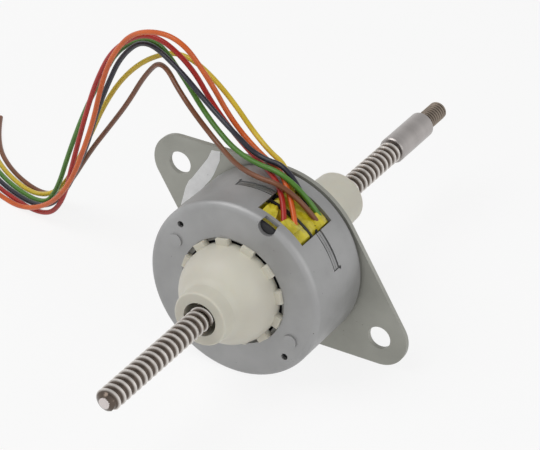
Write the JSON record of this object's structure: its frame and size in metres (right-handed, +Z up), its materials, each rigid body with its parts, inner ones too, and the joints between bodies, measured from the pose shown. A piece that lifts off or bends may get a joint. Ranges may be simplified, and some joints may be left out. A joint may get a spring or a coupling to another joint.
{
  "type": "linear actuator",
  "caption": "Round can-stack stepping linear actuator with a two-eared mounting flange, moulded bearing hubs, a travelling lead screw through the rotor and loose colour-coded leads.",
  "frame": {"origin": "centre of the mounting flange's free face, on the screw's axis", "axes": "+Y along the screw towards its stud end, away from the flange's free face; +Z up with the part lying on the flange's straight edge; +X completes the right-handed frame"},
  "size_m": [0.1601, 0.1582, 0.0728],
  "materials": {
    "can_steel": "satin plated sheet",
    "flange_steel": "satin plated sheet",
    "pole_steel": "plated sheet",
    "bobbin_plastic": "moulded",
    "copper_wire": "enamelled copper wire",
    "yellow_tape": "creased film tape",
    "hub_plastic": "ivory moulding",
    "spring_steel": "bright",
    "bearing_steel": "ground",
    "ball_steel": "polished",
    "cage_steel": "pressed",
    "ferrite": "sintered",
    "sleeve_bronze": "machined",
    "screw_steel": "rolled thread",
    "sleeve_steel": "turned",
    "stud_steel": "cut thread",
    "orange_insulation": "extruded",
    "red_insulation": "extruded",
    "black_insulation": "extruded",
    "green_insulation": "extruded",
    "yellow_insulation": "extruded",
    "brown_insulation": "extruded"
  },
  "bodies": {
    "stator": {"far_bobbin": "bobbin_plastic", "far_cup": "can_steel", "far_hub": "hub_plastic", "far_outer_race": "bearing_steel", "far_pole_plate": "pole_steel", "far_tape": "yellow_tape", "far_winding": "copper_wire", "lead_black": "black_insulation", "lead_brown": "brown_insulation", "lead_green": "green_insulation", "lead_orange": "orange_insulation", "lead_red": "red_insulation", "lead_yellow": "yellow_insulation", "mounting_flange": "flange_steel", "near_bobbin": "bobbin_plastic", "near_cup": "can_steel", "near_hub": "hub_plastic", "near_outer_race": "bearing_steel", "near_pole_plate": "pole_steel", "near_tape": "yellow_tape", "near_winding": "copper_wire", "preload_washer": "spring_steel"},
    "rotor": {"rotor_magnet": "ferrite", "rotor_sleeve": "sleeve_bronze", "near_inner_race": "bearing_steel", "far_inner_race": "bearing_steel"},
    "ball_trains": {"near_balls": "ball_steel", "far_balls": "ball_steel", "near_ball_cage": "cage_steel", "far_ball_cage": "cage_steel"},
    "screw": {"lead_screw": "screw_steel", "end_sleeve": "sleeve_steel", "end_stud": "stud_steel"}
  },
  "joints": [
    {"name": "rotor_spin", "type": "hinge", "parent": "stator", "child": "rotor", "pos_m": [0, -0.0119, 0], "axis": [0, 1, 0], "range_deg": [-9200, 4480]},
    {"name": "screw_slide", "type": "slide", "parent": "stator", "child": "screw", "axis": [0, 1, 0], "range_m": [-0.0268, 0.055]},
    {"name": "ball_roll", "type": "hinge", "parent": "stator", "child": "ball_trains", "pos_m": [0, -0.0119, 0], "axis": [0, 1, 0], "range_deg": [-3900, 1950]}
  ],
  "couplings": [
    {"joint": "screw_slide", "follows": "rotor_spin", "m_per_rad": -0.00034218},
    {"joint": "ball_roll", "follows": "rotor_spin", "ratio": 0.39726}
  ]
}
